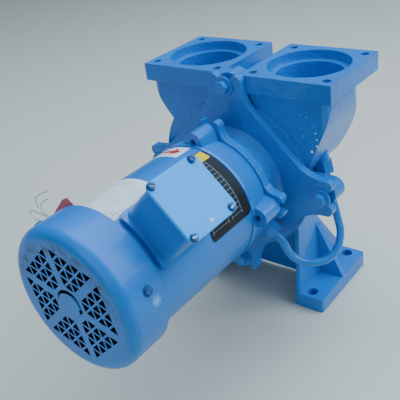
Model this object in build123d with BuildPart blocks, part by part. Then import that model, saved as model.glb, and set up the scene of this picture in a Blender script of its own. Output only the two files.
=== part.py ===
from build123d import *
import math
import os

os.makedirs("parts", exist_ok=True)

# Close-coupled centrifugal pump: twin-port casing on a cast foot, star-shaped adapter, fan-cooled motor.
# The foot stands on z = 0 with the centre of its four holes at the origin. The shaft line lies to the
# right of it, since the scroll reaches out to the left. The ports look up, the fan end is at -Y.
# Lengths are millimetres. Depths along the shaft are counted from the star plate's motor side.

# Foot and shaft line
axis_height = 198.0
shaft_x = 20.0
plate_to_foot = 100.3
pad_inner = 71.5
pad_outer = 109.9
pad_depth = 124.0
pad_thick = 19.4
foot_hole_edge = 12.5
foot_hole_side = 20.65
foot_hole_radius = 6.8
foot_fillet = 8.0
pad_corner = 4.0
leg_web_thick = 5.5
leg_rib_thick = 8.0
leg_lean = 5.5
leg_shoulder = 101.0
leg_shoulder_front = 15.0
leg_shoulder_rear = 65.0
leg_top_drop = 50.0
rib_top = 84.0
cross_web_thick = 9.0
cross_web_clear = 7.5

# Twin-port casing
casing_front = 10.0
ring_radius = 94.0
ring_thick = 5.0
scroll_radius = 98.0
scroll_offset = 14.0
scroll_depth = 62.0
rear_radius = 74.0
rear_depth = 112.0
port_spacing = 137.6
port_depth = 66.8
flange_width = 110.0
flange_length = 113.0
flange_top = 125.2
flange_thick = 20.7
flange_slot = 26.0
flange_web_depth = 18.7
port_bore = 38.0
port_recess = 46.2
port_recess_depth = 10.7
port_bolt_spacing = 88.8
port_bolt_radius = 4.6
nozzle_front = 14.0
nozzle_rear = 114.0
nozzle_reach = 50.0
nozzle_front_corner = 10.0
nozzle_bottom_z = 4.0
chamber_radius = 69.0
chamber_depth = 42.0
suction_radius = 40.0
suction_wall = 10.0
throat_drop = 40.0
throat_radius = 26.0
throat_lean = 14.0
throat_shift = 18.0
eye_radius = 28.0

# Adapter between motor and casing
plate_thick = 10.0
plate_flat = 85.5
ear_radius = 114.15
ear_width = 42.6
ear_tip = 127.0
ear_notch = 15.5
ear_blend = 42.0
ear_boss = 12.5
ear_boss_depth = 22.0
ear_bolt_radius = 4.8
washer_radius = 11.6
washer_thick = 2.2
hex_flats = 14.3
hex_height = 6.6
neck_length = 36.0
neck_radius = 61.0
neck_wall = 9.0
cface_thick = 11.0
cface_radius = 70.0
cface_lug_tip = 87.5
cface_lug_width = 28.0
cface_lug_blend = 16.0
cface_notch = 13.4
motor_bolt_circle = 74.6
motor_bolt_radius = 4.7
seal_bore = 21.0
motor_hex_flats = 12.7
motor_hex_height = 5.0
motor_bolt_length = 20.0

# Motor
frame_radius = 70.6
frame_length = 151.0
drive_bell_length = 32.0
boss_radius = 10.6
boss_length = 24.0
bell_front_radius = 68.0
rear_bell_depth = 19.0
rear_bell_wall = 7.0
cover_step = 7.2
cover_wall = 1.6
cover_end = 45.0
cover_round = 12.0
cover_lip = 2.0
seat_gap = 0.2
grille_apothem = 54.4
grille_spoke = 6.8
grille_bar = 2.2
grille_turn = -14.0
grille_rows = 4
cap_radius = 16.0
cap_slip = 2.2
cap_rise = 1.0
shaft_radius = 9.5
shaft_clearance = 0.06
fan_hub_radius = 17.0
fan_radius = 62.0
fan_blade_depth = 20.0
fan_blade_thick = 3.0
fan_blades = 8
fan_clear = 7.0
impeller_radius = 58.0
impeller_width = 20.0
impeller_clear = 8.0

# Conduit box
box_turn = 45.0
box_centre = 173.0
box_length = 62.0
box_width = 60.0
box_wall = 2.5
box_corner = 9.0
box_height = 120.5
box_rim = 5.0
box_rim_height = 6.0
box_cover_length = 68.0
box_cover_width = 65.0
box_cover_thick = 3.0
box_cover_corner = 8.0

# Seal flush line
tube_radius = 4.6
tube_angle = 128.0
tube_depth = -17.0
fitting_hex = 19.0
fitting_length = 14.0
stub_radius = 8.0
tube_bend = 14.0
tube_reach = 48.0
tube_route = [(107.0, 4.0, -88.0), (119.0, 26.0, -84.0), (116.0, 41.0, -66.0),
              (104.6, 45.0, -29.4), (94.8, 48.0, 6.2)]
tube_top = (90.0, 50.0, 24.0)
fitting_seat = 6.0

# Places worked out from the sizes
front_y = -plate_to_foot
cover_radius = frame_radius + cover_step
cface_y = front_y - neck_length
drive_y = cface_y - drive_bell_length
rear_y = drive_y - frame_length
bell_end_y = rear_y - rear_bell_depth
cover_end_y = rear_y - cover_end
cover_rim_y = rear_y + cover_lip
casing_y = front_y + plate_thick
rear_face_y = front_y + rear_depth
flange_y = casing_y
port_y = front_y + port_depth
port_x = port_spacing / 2
flange_z = axis_height + flange_top
flange_under = flange_z - flange_thick
bowl_top = flange_top - flange_thick
shaft_end_y = front_y + casing_front + chamber_depth - impeller_clear
leg_top = axis_height - leg_top_drop
motor_axis = Axis((shaft_x, 0, axis_height), (0, 1, 0))
profile = Plane(origin=(shaft_x, 0, axis_height), x_dir=(0, 1, 0), z_dir=(1, 0, 0))


def across(y):
    """Plane square to the shaft at depth y, seen from the fan end."""
    return Plane(origin=(shaft_x, y, axis_height), x_dir=(1, 0, 0), z_dir=(0, -1, 0))


def level(z):
    """Level plane at height z, with the shaft line above or below its own Y axis."""
    return Plane(origin=(shaft_x, 0, z))


def off_axis(edge):
    """Sideways and upward distance of an edge's middle from the shaft line."""
    return abs(edge.center().X - shaft_x), abs(edge.center().Z - axis_height)


toward_pump = (0, 1, 0)

# Motor frame: rolled shell, closed and solid inside, bored for the shaft
with BuildPart() as motor_frame:
    with BuildSketch(across(rear_y)):
        Circle(frame_radius)
        Circle(shaft_radius + 3, mode=Mode.SUBTRACT)
    extrude(amount=frame_length, dir=toward_pump)

# Drive-end bell with four drilled bosses on its rim
with BuildPart() as drive_end_bell:
    with BuildSketch(profile):
        with BuildLine():
            Polyline((drive_y, 0), (drive_y, frame_radius + 1.2), (drive_y + 3, frame_radius + 1.8),
                     (cface_y - 5, bell_front_radius + 2), (cface_y, bell_front_radius), (cface_y, 0),
                     close=True)
        make_face()
    revolve(axis=motor_axis)
    with BuildSketch(across(cface_y - boss_length - 4)):
        with PolarLocations(motor_bolt_circle, 4):
            Circle(boss_radius)
    extrude(amount=boss_length + 4, dir=toward_pump)
    with BuildSketch(across(drive_y)):
        with PolarLocations(motor_bolt_circle, 4):
            Circle(motor_bolt_radius)
        Circle(shaft_radius + 3)
    extrude(amount=drive_bell_length, dir=toward_pump, mode=Mode.SUBTRACT)

# Rear bell: carries the shaft and the fan cover's rim
with BuildPart() as rear_end_bell:
    with BuildSketch(across(bell_end_y)):
        Circle(cover_radius - cover_wall - seat_gap)
    extrude(amount=rear_bell_depth, dir=toward_pump)
    with BuildSketch(across(bell_end_y)):
        Circle(cover_radius - cover_wall - seat_gap - rear_bell_wall)
    extrude(amount=rear_bell_depth - rear_bell_wall, dir=toward_pump, mode=Mode.SUBTRACT)
    with BuildSketch(across(rear_y - rear_bell_wall - 4)):
        Circle(fan_hub_radius + 6)
    extrude(amount=4, dir=toward_pump)
    with BuildSketch(across(bell_end_y)):
        Circle(shaft_radius + shaft_clearance)
    extrude(amount=rear_bell_depth, dir=toward_pump, mode=Mode.SUBTRACT)

# Fan cover: drawn cup with a hexagon of triangular air holes round a plain cap
with BuildPart() as fan_cover:
    with BuildSketch(across(cover_end_y)):
        Circle(cover_radius)
    extrude(amount=cover_end + cover_lip, dir=toward_pump)
    end_rim = fan_cover.edges().sort_by(Axis.Y)[0]
    fillet(end_rim, radius=cover_round)
    mouth = fan_cover.faces().sort_by(Axis.Y)[-1]
    offset(amount=-cover_wall, openings=mouth)
    sector_foot = grille_spoke / 2 / math.sin(math.radians(30))
    row_height = (grille_apothem - sector_foot) / grille_rows
    cell_side = row_height / math.cos(math.radians(30))
    hole_radius = cell_side / math.sqrt(3) - grille_bar
    with BuildSketch(across(cover_end_y)):
        for sector in range(6):
            middle = 90 - (grille_turn + 60 * sector + 30)
            with Locations(Location((0, 0, 0), (0, 0, middle))):
                for row in range(1, grille_rows):
                    for cell in range(2 * row + 1):
                        points_in = cell % 2 == 0
                        reach = sector_foot + row_height * (row + (2 / 3 if points_in else 1 / 3))
                        side = (cell - row) * cell_side / 2
                        with Locations((reach, side)):
                            RegularPolygon(hole_radius, 3, rotation=180 if points_in else 0)
    extrude(amount=cover_wall * 2, dir=toward_pump, mode=Mode.SUBTRACT)
    # Plain cap in the middle, pressed in at its top edge and notched at its side
    with BuildSketch(across(cover_end_y - cap_rise)):
        Circle(cap_radius - cap_slip)
    extrude(amount=cap_rise, dir=toward_pump)
    fillet(fan_cover.edges().filter_by(GeomType.CIRCLE).sort_by(Axis.Y)[0], radius=cap_rise * 0.6)
    with BuildSketch(across(cover_end_y - cap_rise)):
        with Locations(Location((0, 0, 0), (0, 0, 90 - grille_turn))):
            with Locations((0, 0)):
                Circle(cap_radius)
            with Locations((-2 * cap_slip, 0)):
                Circle(cap_radius + cap_slip * 0.6, mode=Mode.SUBTRACT)
        with Locations((cap_radius - 2, -3)):
            Rectangle(3.2, 4.4)
    extrude(amount=cover_wall * 2 + cap_rise, dir=toward_pump, mode=Mode.SUBTRACT)

# Cooling fan: hub and straight radial blades
fan_front_y = rear_y - rear_bell_wall - 4 - fan_clear
with BuildPart() as cooling_fan:
    with BuildSketch(across(fan_front_y - fan_blade_depth)):
        Circle(fan_hub_radius)
        with PolarLocations((fan_hub_radius + fan_radius) / 2 - 2, fan_blades):
            Rectangle(fan_radius - fan_hub_radius + 4, fan_blade_thick)
    extrude(amount=fan_blade_depth, dir=toward_pump)
    with BuildSketch(across(fan_front_y - 3)):
        Circle(fan_radius - 4)
    extrude(amount=3, dir=toward_pump)
    with BuildSketch(across(fan_front_y - fan_blade_depth)):
        Circle(shaft_radius)
    extrude(amount=fan_blade_depth, dir=toward_pump, mode=Mode.SUBTRACT)

# Shaft from the fan to the impeller
with BuildPart() as motor_shaft:
    with BuildSketch(across(fan_front_y - fan_blade_depth - 2)):
        Circle(shaft_radius)
    extrude(amount=shaft_end_y - (fan_front_y - fan_blade_depth - 2), dir=toward_pump)

# Adapter: motor flange with notched lugs, neck and star plate in one casting
with BuildPart() as adapter:
    with BuildSketch(across(front_y)):
        Rectangle(2 * plate_flat, 2 * plate_flat, rotation=45)
        Rectangle(ear_width, 2 * ear_tip)
        Rectangle(2 * ear_tip, ear_width)
    extrude(amount=plate_thick, dir=toward_pump)
    corner = ear_width / 2
    blend_edges = [e for e in adapter.edges().filter_by(Axis.Y)
                   if abs(sum(off_axis(e)) - plate_flat * math.sqrt(2)) < 0.5
                   and abs(off_axis(e)[0] - off_axis(e)[1]) > 1
                   and min(abs(side - corner) for side in off_axis(e)) < 0.5]
    fillet(blend_edges, radius=ear_blend)
    with BuildSketch(across(front_y)):
        with PolarLocations(ear_radius, 4):
            Circle(ear_notch / 2)
            with Locations((20, 0)):
                Rectangle(40, ear_notch)
    extrude(amount=plate_thick, dir=toward_pump, mode=Mode.SUBTRACT)
    tip_edges = [e for e in adapter.edges().filter_by(Axis.Y) if max(off_axis(e)) > ear_tip - 0.1]
    fillet(tip_edges, radius=(ear_width - ear_notch) / 4 - 0.4)
    with BuildSketch(profile):
        with BuildLine():
            Polyline((cface_y, 0), (cface_y, cface_radius), (cface_y + cface_thick, cface_radius),
                     (cface_y + cface_thick, neck_radius), (front_y - 6, neck_radius),
                     (front_y, neck_radius + 6), (front_y + plate_thick, neck_radius + 6),
                     (front_y + plate_thick, 0), close=True)
        make_face()
    revolve(axis=motor_axis)
    with BuildSketch(across(cface_y)):
        with PolarLocations((cface_lug_tip + 40) / 2, 4):
            Rectangle(cface_lug_tip - 40, cface_lug_width)
    extrude(amount=cface_thick, dir=toward_pump)
    lug_feet = [e for e in adapter.edges().filter_by(Axis.Y)
                if abs(min(off_axis(e)) - cface_lug_width / 2) < 0.1
                and abs(math.hypot(*off_axis(e)) - cface_radius) < 0.5
                and e.center().Y < front_y - 10]
    fillet(lug_feet, radius=cface_lug_blend)
    lug_edges = [e for e in adapter.edges().filter_by(Axis.Y)
                 if abs(max(off_axis(e)) - cface_lug_tip) < 0.1
                 and e.center().Y < front_y - 10]
    fillet(lug_edges, radius=6)
    with BuildSketch(across(cface_y)):
        with PolarLocations(motor_bolt_circle, 4):
            Circle(cface_notch / 2)
            with Locations((15, 0)):
                Rectangle(30, cface_notch)
    extrude(amount=cface_thick, dir=toward_pump, mode=Mode.SUBTRACT)
    with BuildSketch(profile):
        with BuildLine():
            Polyline((cface_y, 0), (cface_y, neck_radius - neck_wall), (front_y - 12, neck_radius - neck_wall),
                     (front_y - 4, seal_bore + 6), (front_y - 4, shaft_radius + shaft_clearance),
                     (front_y + plate_thick, shaft_radius + shaft_clearance), (front_y + plate_thick, 0),
                     close=True)
        make_face()
    revolve(axis=motor_axis, mode=Mode.SUBTRACT)

# The two bowls under the flanges, cut from one block by their front, side and plan outlines
with BuildPart() as bowls:
    with BuildSketch(across(front_y + nozzle_front)):
        with BuildLine():
            Line((0, bowl_top), (port_x + nozzle_reach, bowl_top))
            Spline((port_x + nozzle_reach, bowl_top), (port_x + 43.5, 70), (port_x + 31, 42),
                   (port_x + 6, nozzle_bottom_z), tangents=((0.02, -1), (-0.85, -0.5)))
            Line((port_x + 6, nozzle_bottom_z), (0, nozzle_bottom_z))
            Line((0, nozzle_bottom_z), (0, bowl_top))
        make_face()
        with BuildLine():
            Line((0, bowl_top), (-port_x - nozzle_reach + 2, bowl_top))
            Spline((-port_x - nozzle_reach + 2, bowl_top), (-port_x - 43, 84), (-port_x - 27, 60),
                   (-port_x - 8, 36), tangents=((-0.02, -1), (0.6, -0.8)))
            Line((-port_x - 8, 36), (-30, nozzle_bottom_z))
            Line((-30, nozzle_bottom_z), (0, nozzle_bottom_z))
            Line((0, nozzle_bottom_z), (0, bowl_top))
        make_face()
    extrude(amount=nozzle_rear - nozzle_front, dir=toward_pump)
    with BuildSketch(level(axis_height)):
        with Locations((0, front_y + nozzle_front + (port_depth - nozzle_front) / 2)):
            RectangleRounded(port_spacing + 2 * nozzle_reach, port_depth - nozzle_front, nozzle_front_corner)
        with Locations((0, port_y - nozzle_front_corner)):
            Rectangle(port_spacing + 2 * nozzle_reach, 2 * nozzle_front_corner)
        with Locations((-port_x, port_y), (port_x, port_y)):
            Circle(nozzle_reach)
        with Locations((0, port_y + nozzle_reach / 2 - 4)):
            Rectangle(port_spacing, nozzle_reach - 8)
    extrude(amount=bowl_top, mode=Mode.INTERSECT)
    with BuildSketch(Plane.YZ):
        with BuildLine():
            Line((front_y + nozzle_front, flange_under), (front_y + nozzle_rear, flange_under))
            Spline((front_y + nozzle_rear, flange_under), (front_y + nozzle_rear - 5, axis_height + 66),
                   (front_y + rear_depth - 30, axis_height), tangents=((0, -1), (-0.7, -0.7)))
            Line((front_y + rear_depth - 30, axis_height), (front_y + nozzle_front, axis_height))
            Line((front_y + nozzle_front, axis_height), (front_y + nozzle_front, flange_under))
        make_face()
    extrude(amount=port_spacing * 2, both=True, mode=Mode.INTERSECT)

# Casing: scroll, suction chamber behind it, two bowls and the pair of square flanges
with BuildPart() as casing:
    with BuildSketch(profile):
        with BuildLine():
            Polyline((casing_y, 0), (casing_y, ring_radius), (casing_y + ring_thick, ring_radius),
                     (casing_y + ring_thick + 6, ring_radius - 8), (front_y + scroll_depth, ring_radius - 8),
                     (front_y + scroll_depth + 12, rear_radius), (rear_face_y - 18, rear_radius),
                     (rear_face_y, rear_radius - 20), (rear_face_y, 0), close=True)
        make_face()
    revolve(axis=motor_axis)
    with BuildSketch(across(casing_y + ring_thick)):
        with Locations((-scroll_offset, 0)):
            Circle(scroll_radius)
    extrude(amount=scroll_depth - casing_front - ring_thick, dir=toward_pump)
    add(bowls.part)
    with BuildSketch(level(flange_under)):
        with Locations((0, flange_y + flange_length / 2)):
            Rectangle(port_spacing + flange_width, flange_length)
        with Locations((0, flange_y + flange_web_depth + flange_length / 2)):
            Rectangle(flange_slot, flange_length, mode=Mode.SUBTRACT)
    extrude(amount=flange_thick)
    with BuildSketch(across(casing_y)):
        with PolarLocations(ear_radius, 4):
            Circle(ear_boss)
        Rectangle(2 * ear_radius, 2 * ear_boss)
        Rectangle(2 * ear_boss, 2 * ear_radius)
    extrude(amount=ear_boss_depth, dir=toward_pump)
    with BuildSketch(across(casing_y)):
        with PolarLocations(ear_radius, 4):
            Circle(ear_bolt_radius)
    extrude(amount=ear_boss_depth, dir=toward_pump, mode=Mode.SUBTRACT)
    # Port recesses, bores and flange bolt holes
    with BuildSketch(level(flange_z)):
        with GridLocations(port_spacing, 1, 2, 1):
            with Locations((0, port_y)):
                Circle(port_recess)
    extrude(amount=-port_recess_depth, mode=Mode.SUBTRACT)
    with BuildSketch(level(flange_z)):
        with Locations((-port_x, port_y), (port_x, port_y)):
            Circle(port_bore)
    extrude(amount=-throat_drop, mode=Mode.SUBTRACT)
    # Throats: the left one leans back to the suction chamber, the right one forward to the scroll
    for drop, x, y, radius in ((1, -port_x, port_y, port_bore),
                               (2, -port_x + throat_shift, port_y + throat_lean / 4, throat_radius),
                               (3, -port_x + 2.5 * throat_shift, port_y + throat_lean, throat_radius)):
        with BuildSketch(level(flange_z - drop * throat_drop)):
            with Locations((x, y)):
                Circle(radius)
    loft(mode=Mode.SUBTRACT)
    for drop, x, y, radius in ((1, port_x, port_y, port_bore),
                               (2, port_x - throat_shift, port_y - throat_shift, throat_radius)):
        with BuildSketch(level(flange_z - drop * throat_drop)):
            with Locations((x, y)):
                Circle(radius)
    loft(mode=Mode.SUBTRACT)
    with BuildSketch(level(flange_z)):
        with Locations((-port_x, port_y), (port_x, port_y)):
            with GridLocations(port_bolt_spacing, port_bolt_spacing, 2, 2):
                Circle(port_bolt_radius)
    extrude(amount=-flange_thick, mode=Mode.SUBTRACT)
    # Waterways: impeller chamber, eye and suction chamber
    with BuildSketch(across(casing_y)):
        Circle(chamber_radius)
    extrude(amount=chamber_depth, dir=toward_pump, mode=Mode.SUBTRACT)
    with BuildSketch(across(casing_y)):
        Circle(eye_radius)
    extrude(amount=rear_depth - casing_front - suction_wall - 10, dir=toward_pump, mode=Mode.SUBTRACT)
    with BuildSketch(across(casing_y + chamber_depth + suction_wall)):
        Circle(suction_radius)
    extrude(amount=rear_depth - casing_front - chamber_depth - 2 * suction_wall, dir=toward_pump,
            mode=Mode.SUBTRACT)

# Foot: drilled pads, leaning webs cut to their side outline, gussets, and a level cross web
with BuildPart() as foot:
    with BuildSketch(Plane.XZ):
        with BuildLine():
            Polyline((pad_inner, 0), (pad_inner + leg_web_thick, 0), (pad_inner + leg_web_thick, pad_thick),
                     (pad_inner + leg_web_thick - leg_lean, leg_shoulder),
                     (pad_inner + leg_web_thick - leg_lean, leg_top), (pad_inner - leg_lean, leg_top),
                     (pad_inner - leg_lean, leg_shoulder), (pad_inner, pad_thick), close=True)
        make_face()
        mirror(about=Plane.YZ)
    extrude(amount=pad_depth / 2, both=True)
    with BuildSketch(Plane.YZ):
        with BuildLine():
            shoulder_front = leg_shoulder_front - pad_depth / 2
            shoulder_rear = leg_shoulder_rear - pad_depth / 2
            Polyline((-pad_depth / 2, 0), (pad_depth / 2, 0), (pad_depth / 2, pad_thick),
                     (shoulder_rear, leg_shoulder), (shoulder_rear, leg_top), (shoulder_front, leg_top),
                     (shoulder_front, leg_shoulder), (-pad_depth / 2, pad_thick), close=True)
        make_face()
    extrude(amount=pad_outer, both=True, mode=Mode.INTERSECT)
    with BuildSketch(Plane.XZ.offset(-leg_rib_thick / 2)):
        with BuildLine():
            Polyline((pad_inner, pad_thick - 1), (pad_outer, pad_thick - 1), (pad_outer, pad_thick),
                     (pad_inner + leg_web_thick - leg_lean, rib_top + leg_lean * 2),
                     (pad_inner - leg_lean, rib_top + leg_lean * 2), close=True)
        make_face()
        mirror(about=Plane.YZ)
    extrude(amount=leg_rib_thick)
    with BuildSketch(Plane.XZ.offset(-cross_web_thick / 2)):
        Polygon((-pad_inner - 1, cross_web_clear), (pad_inner + 1, cross_web_clear), (pad_inner + 1, pad_thick),
                (pad_inner - leg_lean + 1, leg_shoulder), (pad_inner - leg_lean + 1, leg_top),
                (-pad_inner + leg_lean - 1, leg_top), (-pad_inner + leg_lean - 1, leg_shoulder),
                (-pad_inner - 1, pad_thick), align=None)
    extrude(amount=cross_web_thick)
    with BuildSketch():
        with Locations(((pad_inner + pad_outer) / 2, 0)):
            RectangleRounded(pad_outer - pad_inner, pad_depth, pad_corner)
        mirror(about=Plane.YZ)
    extrude(amount=pad_thick)
    with Locations((0, 0, 0)):
        with GridLocations(2 * (pad_outer - foot_hole_side), pad_depth - 2 * foot_hole_edge, 2, 2):
            Cylinder(foot_hole_radius, 2 * pad_thick, mode=Mode.SUBTRACT)
    add(casing.part, mode=Mode.SUBTRACT)

# Impeller: two shrouds with straight vanes between them
impeller_y = shaft_end_y - impeller_width
with BuildPart() as impeller:
    with BuildSketch(across(impeller_y)):
        Circle(impeller_radius)
    extrude(amount=4, dir=toward_pump)
    with BuildSketch(across(impeller_y)):
        Circle(shaft_radius + 8)
        with PolarLocations(impeller_radius / 2 + 8, 6):
            Rectangle(impeller_radius - 24, 4, rotation=30)
    extrude(amount=impeller_width, dir=toward_pump)
    with BuildSketch(across(impeller_y)):
        Circle(shaft_radius)
    extrude(amount=impeller_width, dir=toward_pump, mode=Mode.SUBTRACT)

# Conduit box on the motor's shoulder, with its cover
box_out = (math.sin(math.radians(box_turn)), 0, math.cos(math.radians(box_turn)))
box_plane = Plane(origin=(shaft_x, front_y - box_centre, axis_height), x_dir=(0, 1, 0), z_dir=box_out)
with BuildPart() as box_base:
    with BuildSketch(across(front_y - box_centre - box_length)):
        Circle(frame_radius + box_rim_height)
    extrude(amount=2 * box_length, dir=toward_pump)
    with BuildSketch(box_plane):
        RectangleRounded(box_length + 2 * box_rim, box_width + box_rim, box_corner)
    extrude(amount=box_height, mode=Mode.INTERSECT)

with BuildPart() as conduit_box:
    with BuildSketch(box_plane.offset(frame_radius - 22)):
        RectangleRounded(box_length, box_width, box_corner)
    extrude(amount=box_height - frame_radius + 22)
    add(box_base.part)
    with BuildSketch(box_plane.offset(frame_radius - 24)):
        RectangleRounded(box_length - 2 * box_wall, box_width - 2 * box_wall, box_corner - box_wall)
    extrude(amount=box_height - frame_radius + 26, mode=Mode.SUBTRACT)
    with BuildSketch(across(rear_y)):
        Circle(frame_radius)
    extrude(amount=frame_length, dir=toward_pump, mode=Mode.SUBTRACT)

with BuildPart() as conduit_box_cover:
    with BuildSketch(box_plane.offset(box_height)):
        RectangleRounded(box_cover_length, box_cover_width, box_cover_corner)
    extrude(amount=box_cover_thick)
    fillet(conduit_box_cover.faces().sort_by(Axis((0, 0, 0), box_plane.z_dir))[-1].edges(), radius=1.2)

# Hex-headed bolts with washers at the four ears
with BuildPart() as ear_bolt:
    with BuildSketch(across(front_y - washer_thick)):
        with Locations((0, ear_radius)):
            Circle(washer_radius)
    extrude(amount=washer_thick, dir=toward_pump)
    with BuildSketch(across(front_y - washer_thick - hex_height)):
        with Locations((0, ear_radius)):
            RegularPolygon(hex_flats / 2, 6, major_radius=False, rotation=12)
    extrude(amount=hex_height, dir=toward_pump)
    chamfer(ear_bolt.faces().sort_by(Axis.Y)[0].edges(), length=0.8)
    with BuildSketch(across(front_y)):
        with Locations((0, ear_radius)):
            Circle(ear_bolt_radius - seat_gap)
    extrude(amount=plate_thick + ear_boss_depth - 4, dir=toward_pump)

# Screws through the adapter's notched lugs into the motor bosses
with BuildPart() as motor_bolt:
    with BuildSketch(across(cface_y + cface_thick)):
        with Locations((0, motor_bolt_circle)):
            RegularPolygon(motor_hex_flats / 2, 6, major_radius=False, rotation=20)
    extrude(amount=motor_hex_height, dir=toward_pump)
    with BuildSketch(across(cface_y - motor_bolt_length)):
        with Locations((0, motor_bolt_circle)):
            Circle(motor_bolt_radius - seat_gap)
    extrude(amount=motor_bolt_length + cface_thick, dir=toward_pump)

# Flush line: straight fitting in the neck, bent tube and the fitting under the right bowl
radial = Vector(math.sin(math.radians(tube_angle)), 0, math.cos(math.radians(tube_angle)))
neck_point = Vector(shaft_x, front_y + tube_depth, axis_height) + radial * neck_radius
fitting_plane = Plane(origin=neck_point, x_dir=(0, 1, 0), z_dir=radial)
with BuildPart() as flush_fitting_lower:
    with BuildSketch(fitting_plane):
        Circle(stub_radius)
    extrude(amount=fitting_seat)
    with BuildSketch(fitting_plane.offset(fitting_seat)):
        RegularPolygon(fitting_hex / 2, 6, major_radius=False)
    extrude(amount=fitting_length)
    with BuildSketch(fitting_plane):
        Circle(tube_radius)
    extrude(amount=fitting_seat + fitting_length, mode=Mode.SUBTRACT)
    add(adapter.part, mode=Mode.SUBTRACT)

tube_start = neck_point + radial * (fitting_seat + 2)
route = [neck_point + radial * tube_reach]
route += [Vector(shaft_x + x, front_y + y, axis_height + z) for x, y, z in tube_route]
tube_end = Vector(shaft_x + tube_top[0], front_y + tube_top[1], axis_height + tube_top[2])
with BuildPart() as flush_tube:
    with BuildLine() as tube_path:
        FilletPolyline(tube_start, *route, tube_end, radius=tube_bend)
    with BuildSketch(Plane(origin=tube_start, z_dir=tube_path.line % 0)):
        Circle(tube_radius - 0.05)
    sweep(path=tube_path.line)
    add(casing.part, mode=Mode.SUBTRACT)

upper_dir = (tube_end - route[-1]).normalized()
upper_plane = Plane(origin=tube_end - upper_dir * (fitting_length + 6), z_dir=upper_dir)
with BuildPart() as flush_fitting_upper:
    with BuildSketch(upper_plane):
        RegularPolygon(fitting_hex / 2, 6, major_radius=False)
    extrude(amount=fitting_length)
    with BuildSketch(upper_plane.offset(fitting_length)):
        Circle(stub_radius)
    extrude(amount=fitting_seat * 2)
    with BuildSketch(upper_plane):
        Circle(tube_radius)
    extrude(amount=fitting_length * 2, mode=Mode.SUBTRACT)
    add(casing.part, mode=Mode.SUBTRACT)

pieces = {
    "motor_frame": motor_frame, "drive_end_bell": drive_end_bell, "rear_end_bell": rear_end_bell,
    "fan_cover": fan_cover, "cooling_fan": cooling_fan, "motor_shaft": motor_shaft, "adapter": adapter,
    "casing": casing, "foot": foot, "impeller": impeller, "conduit_box": conduit_box,
    "conduit_box_cover": conduit_box_cover, "flush_fitting_lower": flush_fitting_lower,
    "flush_tube": flush_tube, "flush_fitting_upper": flush_fitting_upper,
}
for label, piece in pieces.items():
    piece.part.label = label
    export_step(piece.part, f"parts/{label}.step")

for side, turn in (("top", 0), ("right", 90), ("bottom", 180), ("left", 270)):
    for kind, master in (("ear_bolt", ear_bolt), ("motor_bolt", motor_bolt)):
        bolt = master.part.rotate(motor_axis, turn)
        bolt.label = f"{kind}_{side}"
        export_step(bolt, f"parts/{bolt.label}.step")
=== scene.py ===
import math
import random

import bmesh
import bpy
from mathutils import Matrix, Vector


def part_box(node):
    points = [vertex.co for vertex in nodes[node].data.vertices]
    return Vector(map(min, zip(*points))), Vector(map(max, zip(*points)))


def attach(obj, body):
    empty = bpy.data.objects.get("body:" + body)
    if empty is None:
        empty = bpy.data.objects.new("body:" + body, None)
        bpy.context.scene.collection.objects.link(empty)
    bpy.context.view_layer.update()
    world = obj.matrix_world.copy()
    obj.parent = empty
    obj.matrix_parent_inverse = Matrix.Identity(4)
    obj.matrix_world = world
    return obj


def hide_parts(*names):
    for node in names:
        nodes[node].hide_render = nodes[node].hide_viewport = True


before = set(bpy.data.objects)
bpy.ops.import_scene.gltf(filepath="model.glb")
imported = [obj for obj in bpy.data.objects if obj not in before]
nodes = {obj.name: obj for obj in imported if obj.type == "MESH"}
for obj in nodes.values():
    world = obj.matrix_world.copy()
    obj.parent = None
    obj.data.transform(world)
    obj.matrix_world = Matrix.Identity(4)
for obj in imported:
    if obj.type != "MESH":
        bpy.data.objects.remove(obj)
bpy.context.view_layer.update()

# Shaft line and star plate: every depth below is counted along +Y from the star plate's motor side,
# every height from the shaft line, as on the maker's drawing. Metres.
shell_low, shell_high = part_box("motor_frame")
shaft_x = (shell_low.x + shell_high.x) / 2
shaft_height = (shell_low.z + shell_high.z) / 2
shell_radius = (shell_high.x - shell_low.x) / 2
plate_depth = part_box("ear_bolt_top")[0].y + 0.0088


def linear(hex_code, alpha=1.0):
    """sRGB hex to linear RGBA."""
    parts = [int(hex_code[i:i + 2], 16) / 255 for i in (1, 3, 5)]
    return tuple(c / 12.92 if c <= 0.04045 else ((c + 0.055) / 1.055) ** 2.4 for c in parts) + (alpha,)


def add(tree, kind, inputs=None, **settings):
    """One shader or geometry node, with its settings, values and links."""
    node = tree.nodes.new(kind)
    for key, value in settings.items():
        setattr(node, key, value)
    for key, value in (inputs or {}).items():
        if isinstance(value, bpy.types.NodeSocket):
            tree.links.new(value, node.inputs[key])
        else:
            node.inputs[key].default_value = value
    return node


def finish_of(name, **sockets):
    """A new material with one Principled shader; returns material, tree and shader."""
    material = bpy.data.materials.new(name)
    material.use_nodes = True
    tree = material.node_tree
    tree.nodes.clear()
    shader = add(tree, "ShaderNodeBsdfPrincipled", sockets)
    add(tree, "ShaderNodeOutputMaterial", {"Surface": shader.outputs[0]})
    return material, tree, shader


def from_shaft(x, depth, z):
    """Millimetres right of the shaft, behind the star plate and above the shaft, as a place in metres."""
    return Vector((shaft_x + x / 1000, plate_depth + depth / 1000, shaft_height + z / 1000))


def on_shell(angle, depth, radius):
    """Place on a cylinder about the shaft: angle in degrees from the top towards the right, millimetres."""
    turn = math.radians(angle)
    return from_shaft(radius * math.sin(turn), depth, radius * math.cos(turn))


def dress(piece, material, body="pump"):
    """Give a finished piece its material and its body."""
    piece.data.materials.clear()
    piece.data.materials.append(material)
    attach(piece, body)


def piece_of(name, shape):
    """Turn a bmesh, its normals set outward, into a piece at the origin."""
    bmesh.ops.recalc_face_normals(shape, faces=shape.faces)
    mesh = bpy.data.meshes.new(name)
    shape.to_mesh(mesh)
    shape.free()
    piece = bpy.data.objects.new(name, mesh)
    bpy.context.collection.objects.link(piece)
    return piece
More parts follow.
